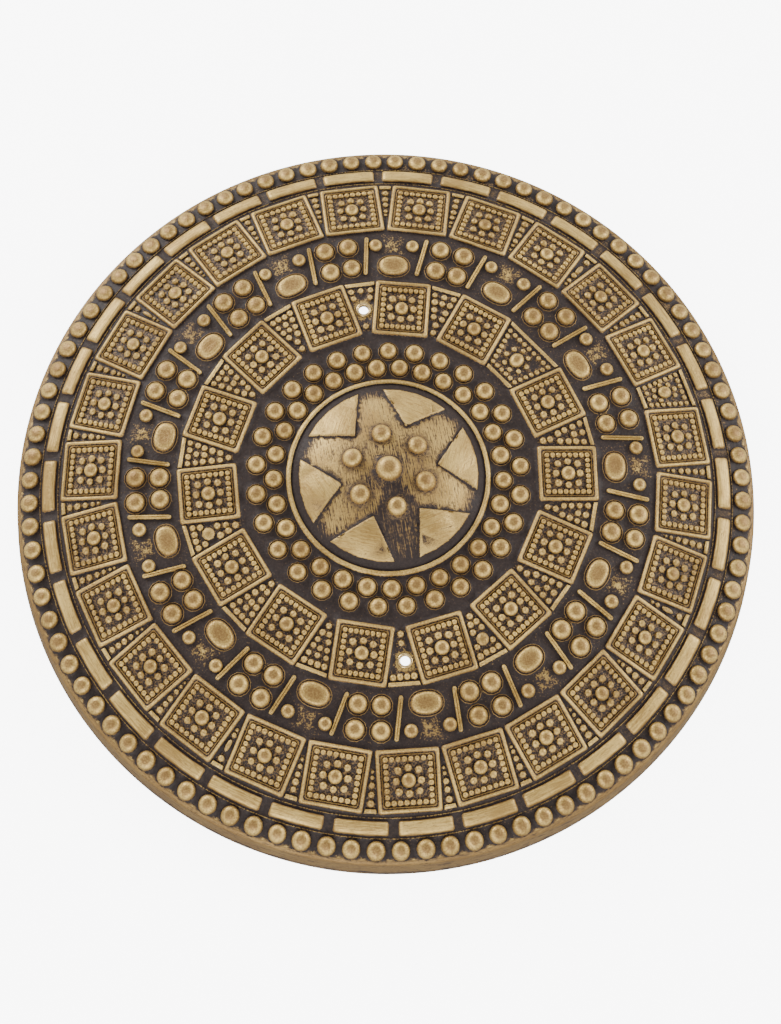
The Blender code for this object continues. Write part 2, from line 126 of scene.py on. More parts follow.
PANEL_RING = (5.4 * MM, 5.2 * MM)

# Band between the tile rings
OVAL_LENGTH = 13.3 * MM
OVAL_WIDTH = 9.3 * MM
OVAL_HEIGHT = 2.2 * MM
OVAL_HALO = 1.1 * MM
OVAL_BEAD = 6.0 * MM
OVAL_BEAD_SPREAD = 16.4 * MM
GROUP_BEAD = 8.2 * MM
GROUP_ROW_STEP = 10.5 * MM
GROUP_SPREAD = 10.8 * MM
ROD_LENGTH = 19.0 * MM
ROD_WIDTH = 1.9 * MM
ROD_HEIGHT = 1.4 * MM
ROD_LEAN = math.radians(8.0)
BAND_GAP = 2.4 * MM
BAND_INNER_MARGIN = 2.9 * MM
BAND_OUTER_MARGIN = 2.8 * MM
BAND_AT = math.radians(3.6)
PILLOW_STEP = 1.5 * MM

# Border
BAR_LENGTH = 23.6 * MM
BAR_WIDTH = 6.2 * MM
BAR_GAP = 3.6 * MM
BAR_MARGIN = 2.2 * MM
BAR_AT = math.radians(1.0)
RIM_BEAD = 8.0 * MM
RIM_BEAD_GAP = 2.3 * MM
RIM_BEAD_MARGIN = 1.8 * MM
RIM_BEAD_AT = math.radians(1.9)
SHOULDER_MARGIN = 0.1 * MM

# Eyelets
EYELETS = {"eyelet_top": (math.radians(97.0), 0.0, 77.2 * MM),
           "eyelet_bottom": (math.radians(277.0), math.radians(0.8), 79.6 * MM)}
EYELET_BORE = 4.2 * MM
EYELET_BARREL = 5.0 * MM
EYELET_FLANGE = 6.6 * MM
EYELET_FLANGE_THICKNESS = 0.6 * MM
SEAT_MARGIN = 0.5 * MM
CLEARANCE = 0.3 * MM

# Height of a bead and a grain as a share of the diameter, and the width of the halos round beads
BEAD_RISE = 0.46
GRAIN_RISE = 0.56
FIELD_HALO = 0.86 * MM
GROUP_HALO = 1.05 * MM

# The rings drift as slow waves: cycles round the ring, swing and phase in degrees
FIELD_DRIFT = ((1, 1.75, 115.5), (2, 1.3, -22.0))
INNER_TILE_DRIFT = ((1, 0.65, 146.0),)
OUTER_WAVE = (2, 0.45, -65.0)
BAND_DRIFT = ((1, 1.57, -1.0), OUTER_WAVE)
OUTER_TILE_DRIFT = ((1, 0.61, -10.0), OUTER_WAVE)
BAR_DRIFT = ((1, 0.44, 14.0), OUTER_WAVE)
RIM_BEAD_DRIFT = ((1, 0.8, 150.0), OUTER_WAVE)

INNER_ROW = BOSS_RADIUS + BOSS_RIDGE_WIDTH / 2 + FIELD_INNER_MARGIN + FIELD_BEAD / 2
OUTER_ROW = INNER_ROW + FIELD_ROW_STEP
INNER_TILES_IN = OUTER_ROW + FIELD_BEAD / 2 + FIELD_OUTER_MARGIN
INNER_TILES_OUT = math.hypot(INNER_TILES_IN + INNER_TILE_LENGTH, INNER_TILE_WIDTH / 2)
BAND_INNER_ROW = INNER_TILES_OUT + BAND_INNER_MARGIN + GROUP_BEAD / 2
BAND_OUTER_ROW = BAND_INNER_ROW + GROUP_ROW_STEP
OUTER_TILES_IN = BAND_OUTER_ROW + GROUP_BEAD / 2 + BAND_OUTER_MARGIN
OUTER_TILES_OUT = math.hypot(OUTER_TILES_IN + OUTER_TILE_LENGTH, OUTER_TILE_WIDTH / 2)
BAR_RING = OUTER_TILES_OUT + BAR_MARGIN + BAR_WIDTH / 2
RIM_ROW = BAR_RING + BAR_WIDTH / 2 + RIM_BEAD_MARGIN + RIM_BEAD / 2
SHOULDER = RIM_ROW + RIM_BEAD / 2 + SHOULDER_MARGIN

# Cross sections of the raised forms, in from the foot to the top. Beads, grains and ovals: shares of
# the half width and of the height, then paint and crest: painted shade at the foot, a painted dark
# reflection at the top, and the shoulder left light as a painted highlight. The back's sections carry no
# paint
BEAD_SECTION = ((1.04, 0.0, 0.0, 0.5), (0.99, 0.15, 0.4, 1.0), (0.93, 0.40, 0.85, 0.7),
                (0.80, 0.67, 1.0, 0.1), (0.60, 0.87, 1.0, 0.3), (0.33, 0.97, 1.0, 1.0))
BACK_BEAD_SECTION = ((0.86, 0.0), (0.72, 0.42), (0.45, 0.86))
SMALL_SECTION = ((1.0, 0.0, 0.4, 0.9), (0.76, 0.68, 1.0, 0.25))
OVAL_SECTION = ((1.05, 0.0, 0.0, 0.5), (1.0, 0.22, 0.4, 1.0), (0.94, 0.62, 0.9, 0.6),
                (0.84, 0.92, 1.0, 0.0), (0.70, 1.0, 1.0, 0.35), (0.35, 0.93, 0.95, 1.0))
BACK_OVAL_SECTION = ((0.84, 0.0), (0.62, 0.9))
WEDGE_OVAL_SECTION = ((1.0, 0.1, 0.2, 0.5), (0.85, 0.7, 1.0, 0.5), (0.5, 0.95, 1.0, 0.5))
ROD_SECTION = ((1.1, 0.0, 0.0), (0.9, 0.75, 0.85), (0.55, 1.0, 1.0))
RIDGE_SECTION = ((-1.15, 0.0), (-0.7, 0.75), (0.0, 1.0), (0.7, 0.75), (1.15, 0.0))
# Frames, bars, caps and lines: millimetres in from the edge and up, then paint, and for frames and bars
# crest: painted shade browning their sides, with their tops left light as a painted highlight
FRAME_SECTION = ((0.0, 0.0, 0.1, 0.5), (0.3, 0.95, 0.75, 0.9), (0.8, 1.5, 1.0, 0.0), (1.3, 1.4, 1.0, 0.25),
                 (1.75, 0.8, 0.6, 0.9), (2.1, 0.45, 0.15, 0.5), (2.5, 0.85, 0.85, 0.6),
                 (2.95, 0.3, 0.35, 0.8))
BACK_FRAME_SECTION = ((0.5, 0.0), (1.1, 0.95), (1.7, 0.35), (3.4, 0.35), (4.3, 1.0), (5.2, 0.35))
BAR_SECTION = ((0.0, 0.0, 0.1, 0.5), (0.3, 0.95, 0.8, 0.9), (0.95, 1.6, 1.0, 0.0), (1.9, 1.78, 0.86, 0.3))
BACK_BAR_SECTION = ((0.8, 0.0), (1.7, 1.5))
CAP_SECTION = ((0.0, 0.0, 0.1), (0.35, 1.0, 0.8), (0.75, 1.25, 1.0))
LINE_SECTION = ((-0.4, 0.0, 0.1), (0.0, 0.45, 0.62), (0.4, 0.0, 0.1))
# Raised triangles: millimetres in and a share of the height. Halos: a share of the width and
# millimetres up. Both end with paint
FACET_SECTION = ((0.0, 0.0, 0.02), (0.45, 0.85, 0.65), (1.0, 1.0, 0.75))
BACK_FACET_SECTION = ((1.0, 0.0, 0.0), (1.6, 1.0, 0.0))
HALO_SECTION = ((1.0, 0.0, 0.0), (0.68, 0.26, 0.95), (0.36, -0.05, 0.0))

# Mesh density
GROUND_STEP = 2.7 * MM
BACK_STEP = 3.4 * MM
RIM_SEGMENTS = 336
SEAT_SEGMENTS = 24
MASK_CELL = 0.25 * MM
MASK_HALF = 170 * MM
FRONT_RIDGE_SEGMENTS = 160
BACK_RIDGE_SEGMENTS = 96
BORDER_LINE_SEGMENTS = 170
SIDE_STEP = 5 * MM
GRAIN_SIDES = 7
OVAL_SIDES = 22
EYELET_SEGMENTS = 48
DOME_STEPS = 24
ROLL_STEPS = 6
SKIRT_STEPS = 6
RIM_STEPS = ROLL_STEPS + SKIRT_STEPS

# Between these radii the ground's bends are eased over a reach
EASE_REACH = 3 * MM
EASE_IN = (50 * MM, 8 * MM)
EASE_OUT = (155 * MM, 4 * MM)

# Stage: the table's own glow, the tent's brightness at its sides, top and below the table, and area
# lights with their place, size and power
FLOOR_GLOW = 7.0
TENT_SIDE = 2.1
TENT_TOP = 0.38
TENT_UNDER = 0.2
LIGHTS = (("key", (-0.9, 0.9, 0.6), 0.5, 19.0), ("fill", (1.2, 0.2, 0.6), 0.6, 13.0),
          ("front", (-0.3, -1.3, 0.5), 0.6, 10.0))

# The photo's camera: where it looks down from, its lens in pixels, and where the boss ridge's centre falls
VIEW_ELEVATION = math.radians(75.4)
VIEW_SWING = math.radians(4.77)
FOCAL_PIXELS = 1574.8
IMAGE_WIDTH, IMAGE_HEIGHT = 781, 1024
VIEW_DISTANCE = 0.6739
RIDGE_AT = (388.5, 476.6)
SENSOR_WIDTH = 36.0


def outer_profile():
    """Radius and height of the plain outer skin, from the centre out to the rim's lower edge."""
    border_slope = math.atan2(BORDER_DROP, SHOULDER - OUTER_TILES_OUT)
    skirt_slope = math.pi / 2 - SKIRT_DRAFT
    arc_radius = SHOULDER - ROLL_RADIUS * math.sin(border_slope)
    arc_height = SKIRT_HEIGHT - ROLL_RADIUS * math.cos(skirt_slope)
    roll = []
    for step in range(ROLL_STEPS + 1):
        slope = border_slope + (skirt_slope - border_slope) * step / ROLL_STEPS
        roll.append((arc_radius + ROLL_RADIUS * math.sin(slope), arc_height + ROLL_RADIUS * math.cos(slope)))
    skirt = []
    for step in range(1, SKIRT_STEPS + 1):
        share = step / SKIRT_STEPS
        skirt.append((roll[-1][0] + SKIRT_HEIGHT * share * math.tan(SKIRT_DRAFT), SKIRT_HEIGHT * (1 - share)))

    tiles_out = roll[0][1] + BORDER_DROP
    band_out = tiles_out + OUTER_TILE_DROP
    band_in = band_out + BAND_DROP
    field = band_in + INNER_TILE_DROP
    dome = []
    for step in range(DOME_STEPS + 1):
        share = step / DOME_STEPS
        dome.append((BOSS_RADIUS * share, field + BOSS_RISE * (1 - share ** 2)))
    rings = [(INNER_TILES_IN, field), (INNER_TILES_OUT, band_in),
             (OUTER_TILES_IN, band_out), (OUTER_TILES_OUT, tiles_out)]
    return dome + rings + roll + skirt


def inner_profile(outer):
    """The outer profile moved in by the wall, with its last point on the rim's plane."""
    line = [Vector(point) for point in outer]
    moved = [(0.0, line[0].y - WALL)]
    for before, here, after in zip(line, line[1:], line[2:]):
        first = (here - before).normalized()
        second = (after - here).normalized()
        normal = (Vector((first.y, -first.x)) + Vector((second.y, -second.x))).normalized()
        moved.append(tuple(here + normal * (WALL / normal.dot(Vector((first.y, -first.x))))))
    moved.append((line[-1].x - WALL / math.cos(SKIRT_DRAFT), 0.0))
    return moved


OUTER = outer_profile()
INNER = inner_profile(OUTER)


def at(angle, radius):
    """Plan position at an angle and a radius."""
    return Vector((radius * math.cos(angle), radius * math.sin(angle)))


def turned(local, angle):
    """A plan vector turned by an angle."""
    cosine, sine = math.cos(angle), math.sin(angle)
    return Vector((local[0] * cosine - local[1] * sine, local[0] * sine + local[1] * cosine))


def drifted(angle, waves):
    """An angle moved by a ring's drift."""
    return angle + sum(math.radians(swing) * math.sin(cycles * angle + math.radians(phase))
                       for cycles, swing, phase in waves)


def even_ring(count, start, waves=()):
    """Angles spaced evenly round a ring, then moved by its drift."""
    return [drifted(start + FULL_TURN * index / count, waves) for index in range(count)]


def fitting(radius, pitch):
    """How many times a pitch fits round a ring."""
    return int(FULL_TURN * radius / pitch)


def oval(centre, sides, half_width, half_length, turn, offset=0.0, power=1.0):
    """Corners of a round or oval outline whose length points along turn. A low power squares it."""
    corners = []
    for index in range(sides):
        angle = FULL_TURN * (index + offset) / sides
        cosine, sine = math.cos(angle), math.sin(angle)
        local = (half_length * math.copysign(abs(cosine) ** power, cosine),
                 half_width * math.copysign(abs(sine) ** power, sine))
        corners.append(centre + turned(local, turn))
    return corners


def round_box(centre, half_width, half_length, turn, corner, step):
    """Outline of a rectangle with rounded corners and points along its sides, its length along turn."""
    corner = min(corner, half_width, half_length)
    outline = []
    for quadrant, (sign_u, sign_v) in enumerate(((1, 1), (-1, 1), (-1, -1), (1, -1))):
        middle = ((half_length - corner) * sign_u, (half_width - corner) * sign_v)
        for part in (0.0, 0.5, 1.0):
            angle = (quadrant + part) * math.pi / 2
            x, y = corner * math.cos(angle), corner * math.sin(angle)
            outline.append(Vector((middle[0] + x, middle[1] + y)))
    return [centre + turned(point, turn) for point in divided(outline, step)]


def divided(outline, step):
    """A closed outline with points added so that no side is longer than a step."""
    result = []
    for here, after in zip(outline, outline[1:] + outline[:1]):
        pieces = max(1, round((after - here).length / step))
        result += [here.lerp(after, index / pieces) for index in range(pieces)]
    return result


def inset(outline, distance):
    """A convex outline moved inwards by a distance, by its corners' bisectors."""
    result = []
    count = len(outline)
    for index in range(count):
        before, here, after = outline[index - 1], outline[index], outline[(index + 1) % count]
        first, second = (here - before).normalized(), (after - here).normalized()
        normal = Vector((-first.y - second.y, first.x + second.x)).normalized()
        result.append(here + normal * (distance / max(0.35, normal.dot(Vector((-first.y, first.x))))))
    return result


class Skin:
    """One face of the shell: plan points with heights and paint, the edges between them, taken ground."""

    def __init__(self, profile, back):
        self.back = back
        radii = np.arange(0, MASK_HALF, MASK_CELL / 2)
        heights = np.interp(radii, [point[0] for point in profile], [point[1] for point in profile])
        reach = int(EASE_REACH / (MASK_CELL / 2))
        eased = np.convolve(np.pad(heights, reach, "edge"), np.ones(2 * reach + 1) / (2 * reach + 1), "valid")
        inner = np.clip((radii - EASE_IN[0]) / EASE_IN[1], 0, 1)
        blend = inner * np.clip((EASE_OUT[0] - radii) / EASE_OUT[1], 0, 1)
        self.table = (heights * (1 - blend) + eased * blend).tolist()
        self.exact = profile
        self.points, self.heights, self.paint, self.crest, self.stroke = [], [], [], [], []
        self.edges = []
        self.hole_starts = []
        cells = int(2 * MASK_HALF / MASK_CELL)
        self.mask = np.zeros((cells, cells), bool)

    def ground(self, place):
        share = place.length / (MASK_CELL / 2)
        low = int(share)
        share -= low
        return self.table[low] * (1 - share) + self.table[low + 1] * share

    def add(self, place, lift=0.0, paint=0.0, crest=0.0, stroke=None, level=None):
        self.points.append(Vector((place[0], place[1])))
        self.heights.append(self.ground(place) + lift if level is None else level)
        self.paint.append(0.0 if self.back else paint)
        self.crest.append(crest)
        self.stroke.append(stroke or (place[0] / MM, place[1] / MM, 0.0))
        return len(self.points) - 1

    def loop(self, corners, lift=0.0, paint=0.0, crest=0.0, strokes=None, level=None):
        """A closed outline raised evenly over the ground."""
        strokes = strokes or [None] * len(corners)
        indices = [self.add(corner, lift, paint, crest, stroke, level)
                   for corner, stroke in zip(corners, strokes)]
        self.edges += list(zip(indices, indices[1:] + indices[:1]))
        return indices

    def line(self, places, lift, paint):
        """An open crease raised over the ground."""
        indices = [self.add(place, lift, paint) for place in places]
        self.edges += list(zip(indices, indices[1:]))

    def take(self, centre, half_width, half_length, turn=0.0, rounded=False):
        """Marks a box or an oval as taken, so that the plain ground puts no points there."""
        reach = math.hypot(half_width, half_length)
        lows = [max(0, int((value - reach + MASK_HALF) / MASK_CELL)) for value in centre]
        highs = [int((value + reach + MASK_HALF) / MASK_CELL) + 2 for value in centre]
        x = (np.arange(lows[0], highs[0]) + 0.5) * MASK_CELL - MASK_HALF - centre[0]
        y = (np.arange(lows[1], highs[1]) + 0.5) * MASK_CELL - MASK_HALF - centre[1]
        u = (x[:, None] * math.cos(turn) + y[None, :] * math.sin(turn)) / half_length
        v = (-x[:, None] * math.sin(turn) + y[None, :] * math.cos(turn)) / half_width
        inside = u * u + v * v < 1 if rounded else (abs(u) < 1) & (abs(v) < 1)
        self.mask[lows[0]:highs[0], lows[1]:highs[1]] |= inside

    def free(self, place):
        return not self.mask[int((place[0] + MASK_HALF) / MASK_CELL), int((place[1] + MASK_HALF) / MASK_CELL)]




def bead(skin, centre, diameter, base=0.0, sides=12, halo=0.0, stretch=1.0, foot=0.0):
    """A domed bead. Each one is a little larger or smaller and stands a little off its place."""
    size = diameter * RANDOM.uniform(0.97, 1.04)
    rise = BEAD_RISE * diameter * RANDOM.uniform(0.93, 1.0)
    centre = centre + Vector((RANDOM.uniform(-1, 1), RANDOM.uniform(-1, 1))) * 0.12 * MM
    half = size / 2
    turn = math.atan2(centre.y, centre.x)
    if skin.back:
        for reach, share in BACK_BEAD_SECTION:
            skin.loop(oval(centre, 8, half * reach, half * reach * stretch, turn), base + rise * share)
        skin.add(centre, base + rise)
        skin.take(centre, half * 1.2, half * 1.2, rounded=True)
        return
    if halo:
        for share, lift, paint in HALO_SECTION:
            reach = half + halo * share
            # Halos take full crest: painted shade round the bead's foot
            skin.loop(oval(centre, sides, reach, reach, turn, 0.5), lift * MM, paint, 1.0)
    for number, (reach, share, paint, crest) in enumerate(BEAD_SECTION):
        count = sides if number < 4 else max(5, sides * 2 // 3)
        outline = oval(centre, count, half * reach, half * reach * stretch, turn, number % 2 / 2)
        skin.loop(outline, base + rise * share, max(paint, foot), crest)
    # The apex takes full crest: a painted dark reflection on the bead's top
    skin.add(centre, base + rise, 1.0, 1.0)
    margin = half + max(halo, 0.3 * MM) + 0.6 * MM
    skin.take(centre, margin, margin * stretch, rounded=True)


def small_bead(skin, centre, diameter, base=0.0):
    """One grain of the fine beading."""
    if skin.back:
        return
    size = diameter * RANDOM.uniform(0.9, 1.02)
    half = size / 2
    turn = RANDOM.uniform(0, 1)
    rise = diameter * GRAIN_RISE
    for reach, share, paint, crest in SMALL_SECTION:
        outline = oval(centre, GRAIN_SIDES, half * reach, half * reach, turn)
        skin.loop(outline, base + rise * share, paint, crest)
    skin.add(centre, base + rise, 1.0, 0.6)
    skin.take(centre, half + 0.4 * MM, half + 0.4 * MM, rounded=True)


def ridge_ring(skin, radius, half_width, height, count):
    """A round ridge about the centre."""
    for reach, share in RIDGE_SECTION:
        places = [at(angle, radius + reach * half_width) for angle in even_ring(count, reach)]
        skin.loop(places, height * share, min(1.0, share * 1.4))


def inside(outline, place):
    """Whether a place lies in a convex anticlockwise outline."""
    sides = zip(outline, outline[1:] + outline[:1])
    return all((after - here).cross(place - here) > 0 for here, after in sides)


def brushed(place, turn, number, stretch=0.12):
    """Stroke coordinates for a brush that ran along an angle."""
    u = (place[0] * math.cos(turn) + place[1] * math.sin(turn)) / MM
    v = (-place[0] * math.sin(turn) + place[1] * math.cos(turn)) / MM
    return (u * stretch, v * 1.5, number * 7.3)


def add_boss(skin):
    """Ridge, raised triangles, lower star and beads of the centre boss."""
    half_ridge = BOSS_RIDGE_WIDTH / 2
    base_radius = BOSS_RADIUS - half_ridge - FACET_BASE_GAP
    if skin.back:
        radius, share, count = BOSS_RADIUS - 0.3 * MM, 0.8, BACK_RIDGE_SEGMENTS
    else:
        radius, share, count = BOSS_RADIUS, 1.0, FRONT_RIDGE_SEGMENTS
    ridge_ring(skin, radius, half_ridge * share, BOSS_RIDGE_HEIGHT * share, count)
    for index in range(STAR_ARMS):
        angle = STAR_AT + FULL_TURN * index / STAR_ARMS
        base = [at(angle + FACET_SPAN * share, base_radius) for share in (-0.5, -0.25, 0.0, 0.25, 0.5)]
        tip = at(angle + math.radians(FACET_SKEW[index]), FACET_TIP_RADIUS)
        foot = divided(base + [tip], FACET_POINT_STEP)
        turn = angle + math.radians(FACET_BRUSH[index])
        for distance, share, paint in BACK_FACET_SECTION if skin.back else FACET_SECTION:
            outline = inset(foot, distance * MM)
            strokes = [brushed(place, turn, index + 1) for place in outline]
            skin.loop(outline, FACET_HEIGHT * share, paint, 0.3, strokes)
        core = inset(foot, FACET_CORE_INSET)
        for row in range(-12, 13):
            for column in range(-12, 13):
                spot = (row * FACET_POINT_STEP, (column + row % 2 / 2) * FACET_POINT_STEP)
                place = at(angle, base_radius * 0.75) + turned(spot, angle)
                if inside(core, place):
                    skin.add(place, FACET_HEIGHT, 0.56, 0.3, brushed(place, turn, index + 1))
        middle = sum(foot, CENTRE) / len(foot)
        # Three boxes, wider towards the ridge, and one at the middle keep the star's points off the triangle
        for row in range(3):
            reach = FACET_TIP_RADIUS + (base_radius - FACET_TIP_RADIUS) * (row + 0.62) / 3
            half = reach * math.tan(FACET_SPAN / 2) * (row + 0.8) / 3
            skin.take(at(angle, reach), half, (base_radius - FACET_TIP_RADIUS) / 5.4, angle)
        skin.take(middle, 5 * MM, 9 * MM, angle)
        arm = angle + math.pi / STAR_ARMS
        bead(skin, at(arm, STAR_BEAD_RADIUS), STAR_BEAD, sides=14, foot=0.4)
    bead(skin, CENTRE, CENTRE_BEAD, sides=18, foot=0.3)
    radius = STAR_POINT_STEP
    while radius < base_radius + 1.4 * MM:
        for angle in even_ring(fitting(radius, STAR_POINT_STEP), radius / STAR_POINT_STEP):
            place = at(angle, radius)
            if skin.free(place):
                stroke = brushed(place, STAR_BRUSH, 0, 0.1)
                skin.add(place, RANDOM.uniform(-0.05, 0.05) * MM, star_paint(place), 0.3, stroke)
        radius += STAR_POINT_STEP
    edge = BOSS_RADIUS + half_ridge * 1.3
    skin.take(CENTRE, edge, edge, rounded=True)




def star_paint(place):
    """How much gold the lower star got: least by the ridge, and in one arm that stayed nearly black."""
    turn = (math.atan2(place.y, place.x) - STAR_AT) % FULL_TURN
    arm = ARM_PAINT[int(turn / (FULL_TURN / STAR_ARMS)) % STAR_ARMS]
    edge = BOSS_RADIUS - BOSS_RIDGE_WIDTH / 2 - FACET_BASE_GAP
    toward_ridge = min(1.0, max(0.0, (place.length - edge + 5 * MM) / (5 * MM)))
    between_beads = max(0.0, 1 - place.length / (24 * MM))
    return arm * (1 - 0.85 * toward_ridge - 0.35 * between_beads)


def add_bead_field(skin):
    """Two staggered rows of beads around the boss."""
    count = fitting(INNER_ROW, FIELD_BEAD + FIELD_BEAD_GAP)
    for radius, start in ((INNER_ROW, FIELD_AT), (OUTER_ROW, FIELD_AT + math.pi / count)):
        for angle in even_ring(count, start, FIELD_DRIFT):
            bead(skin, at(angle, radius), FIELD_BEAD, halo=FIELD_HALO)


def tile_angles(inner_edge, width, gap, panel_at, waves):
    """Angles of a ring's tiles, spread over what its narrow panel leaves."""
    tile_turn = 2 * math.atan((width + gap) / 2 / inner_edge)
    panel_turn = 2 * math.atan((PANEL_WIDTH + gap) / 2 / inner_edge)
    count = int((FULL_TURN - panel_turn) / tile_turn)
    pitch = (FULL_TURN - panel_turn) / count
    first = panel_at + (panel_turn + pitch) / 2
    return [drifted(first + pitch * index, waves) for index in range(count)]


def add_tile(skin, angle, inner_edge, width, length):
    """A raised frame, a beaded border on a low ledge, and eight grains round a bead."""
    half_width, half_length = width / 2, length / 2
    centre = at(angle, inner_edge + half_length)
    skin.take(centre, half_width + 0.9 * MM, half_length + 0.9 * MM, angle)
    for distance, lift, *look in BACK_FRAME_SECTION if skin.back else FRAME_SECTION:
        distance *= MM
        across, along = half_width - distance, half_length - distance
        skin.loop(round_box(centre, across, along, angle, TILE_CORNER, SIDE_STEP), lift * MM, *look)
    bead(skin, centre, TILE_BOSS, FLOOR_LIFT, sides=10)
    if skin.back:
        return
    across, along = half_width - BORDER_INSET, half_length - BORDER_INSET
    corners = [Vector((along * u, across * v)) for u, v in ((1, 1), (-1, 1), (-1, -1), (1, -1))]
    for place in divided(corners, BORDER_GRAIN_STEP):
        small_bead(skin, centre + turned(place, angle), BORDER_GRAIN, FLOOR_LIFT)
    for u in (-1, 0, 1):
        for v in (-1, 0, 1):
            if u or v:
                stand = SATELLITE_CORNER if u and v else SATELLITE_SIDE
                place = Vector((u * stand, v * stand))
                small_bead(skin, centre + turned(place, angle), SATELLITE_GRAIN, FLOOR_LIFT)


def gap_outline(half_turn, inner_edge, width, length, shrink):
    """The wedge between two neighbouring tiles, as a plan outline shrunk on all sides."""
    sine, cosine = math.sin(half_turn), math.cos(half_turn)
    near = inner_edge * cosine + width / 2 * sine + shrink
    far = (inner_edge + length) * cosine + width / 2 * sine - shrink
    half_near = (near * sine - width / 2) / cosine - shrink
    half_far = (far * sine - width / 2) / cosine - shrink
    return near, far, half_near, half_far


def add_cap(skin, middle, start, end, half_start, half_end):
    """A bar that closes a wedge from one tile's frame to the next."""
    for shrink, lift, paint in CAP_SECTION:
        shrink *= MM
        corners = [(end - shrink, -half_end + shrink), (end - shrink, half_end - shrink),
                   (start + shrink, half_start - shrink), (start + shrink, -half_start + shrink)]
        outline = divided([turned(corner, middle) for corner in corners], 4 * MM)
        skin.loop(outline, lift * MM, paint)
    reach = max(half_start, half_end)
    skin.take(at(middle, (start + end) / 2), reach, (end - start) / 2 + 0.4 * MM, middle)


def add_wedge(skin, middle, half_turn, inner_edge, width, length, seats, with_oval):
    """A cap bar and rows of grains in the gap between two tiles."""
    near, far, half_near, half_far = gap_outline(half_turn, inner_edge, width, length, 0.45 * MM)
    add_cap(skin, middle, far - CAP_WIDTH, far, half_far - 0.3 * MM, half_far)
    slope = (half_far - half_near) / (far - near)
    reach = far - 4.1 * MM
    if with_oval:
        spot = near * 0.4 + far * 0.6
        size = half_near + slope * (spot - near)
        centre = at(middle, spot)
        for share, height, *look in WEDGE_OVAL_SECTION:
            outline = oval(centre, 9, size * 0.62 * share, 2.9 * MM * share, middle)
            skin.loop(outline, 1.7 * MM * height, *look)
        skin.add(centre, 1.7 * MM, 1.0, 1.0)
        skin.take(centre, size * 0.8, 3.4 * MM, middle, rounded=True)
    while reach > near + 0.6 * MM:
        half = half_near + slope * (reach - near)
        if half < 0.65 * MM:
            break
        size = min(WEDGE_GRAIN * RANDOM.uniform(0.95, 1.12), 2 * half)
        count = max(1, int(2 * half / (WEDGE_GRAIN * 0.98)))
        for index in range(count):
            across = (2 * index / (count - 1) - 1) * (half - size / 2) if count > 1 else 0.0
            jitter = RANDOM.uniform(-0.3, 0.3) * MM
            place = turned((reach + jitter, across), middle)
            room = EYELET_FLANGE / 2 + 0.9 * MM + size / 2
            clear_of_seat = all((place - seat).length > room for seat in seats)
            if clear_of_seat and skin.free(place):
                small_bead(skin, place, size)
        reach -= size + (0.35 if count > 1 else 0.3) * MM


def add_panel(skin, middle, half_turn, inner_edge, width, length):
    """The wide gap of a ring: bars at both ends, a border of grains and a bead with a ring of grains."""
    near, far, half_near, half_far = gap_outline(half_turn, inner_edge, width, length, 0.5 * MM)
    slope = (half_far - half_near) / (far - near)
    add_cap(skin, middle, far - CAP_WIDTH, far, half_far - slope * CAP_WIDTH, half_far)
    add_cap(skin, middle, near, near + CAP_WIDTH, half_near, half_near + slope * CAP_WIDTH)
    start, end = near + PANEL_BORDER_START, far - PANEL_BORDER_START
    half_start = half_near + slope * PANEL_BORDER_START - PANEL_BORDER_INSET
    half_end = half_far - slope * PANEL_BORDER_START - PANEL_BORDER_INSET
    corners = [(end, -half_end), (end, half_end), (start, half_start), (start, -half_start)]
    for place in divided([turned(corner, middle) for corner in corners], PANEL_GRAIN_STEP):
        small_bead(skin, place, PANEL_GRAIN)
    spot = (start + end) / 2
    centre = at(middle, spot)
    bead(skin, centre, TILE_BOSS * min(1.0, half_start * 1.35 / TILE_BOSS), sides=10, stretch=1.15)
    for index in range(8):
        angle = FULL_TURN * index / 8 + 0.2
        half = half_near + slope * (spot - near) - 3.2 * MM
        spoke = (PANEL_RING[0] * math.cos(angle), min(PANEL_RING[1], half) * math.sin(angle))
        place = centre + turned(spoke, middle)
        if skin.free(place):
            small_bead(skin, place, 2.5 * MM)


def add_tile_ring(skin, angles, inner_edge, width, length, panel_at, seats, ovals):
    """Tiles, the wedges between them and the panel."""
    for angle in angles:
        add_tile(skin, angle, inner_edge, width, length)
    if skin.back:
        bead(skin, at(panel_at, inner_edge + length / 2), TILE_BOSS)
        return
    for index, (first, second) in enumerate(zip(angles, angles[1:])):
        middle, half_turn = (first + second) / 2, (second - first) / 2
        near_seat = any((at(middle, seat.length) - seat).length < 4 * MM for seat in seats)
        with_oval = index % ovals == 1 and not near_seat
        add_wedge(skin, middle, half_turn, inner_edge, width, length, seats, with_oval)
    middle = (angles[-1] + angles[0]) / 2 - math.pi
    add_panel(skin, middle, (angles[0] + FULL_TURN - angles[-1]) / 2, inner_edge, width, length)


def add_oval(skin, angle, radius):
    """A flat-topped oval lying along the ring."""
    centre = at(angle, radius)
    half_width = OVAL_LENGTH / 2 * RANDOM.uniform(0.94, 1.03)
    half_length = OVAL_WIDTH / 2 * RANDOM.uniform(0.95, 1.03)
    turn = angle + math.radians(RANDOM.uniform(-4, 4))
    if skin.back:
        for share, height in BACK_OVAL_SECTION:
            skin.loop(oval(centre, 14, half_width * share, half_length * share, turn), OVAL_HEIGHT * height)
        skin.take(centre, half_width, half_length, turn, rounded=True)
        return
    for share, lift, paint in HALO_SECTION:
        reach = OVAL_HALO * share
        outline = oval(centre, OVAL_SIDES, half_width + reach, half_length + reach, turn, 0.5, 0.9)
        skin.loop(outline, lift * MM, paint, 1.0)
    for number, (share, height, paint, crest) in enumerate(OVAL_SECTION):
        sides = OVAL_SIDES if number < 5 else 12
        outline = oval(centre, sides, half_width * share, half_length * share, turn, number % 2 / 2, 0.88)
        skin.loop(outline, OVAL_HEIGHT * height, paint, crest)
    skin.add(centre, OVAL_HEIGHT * 0.94, 1.0, 1.0)
    skin.take(centre, half_width + 1.9 * MM, half_length + 1.9 * MM, turn, rounded=True)


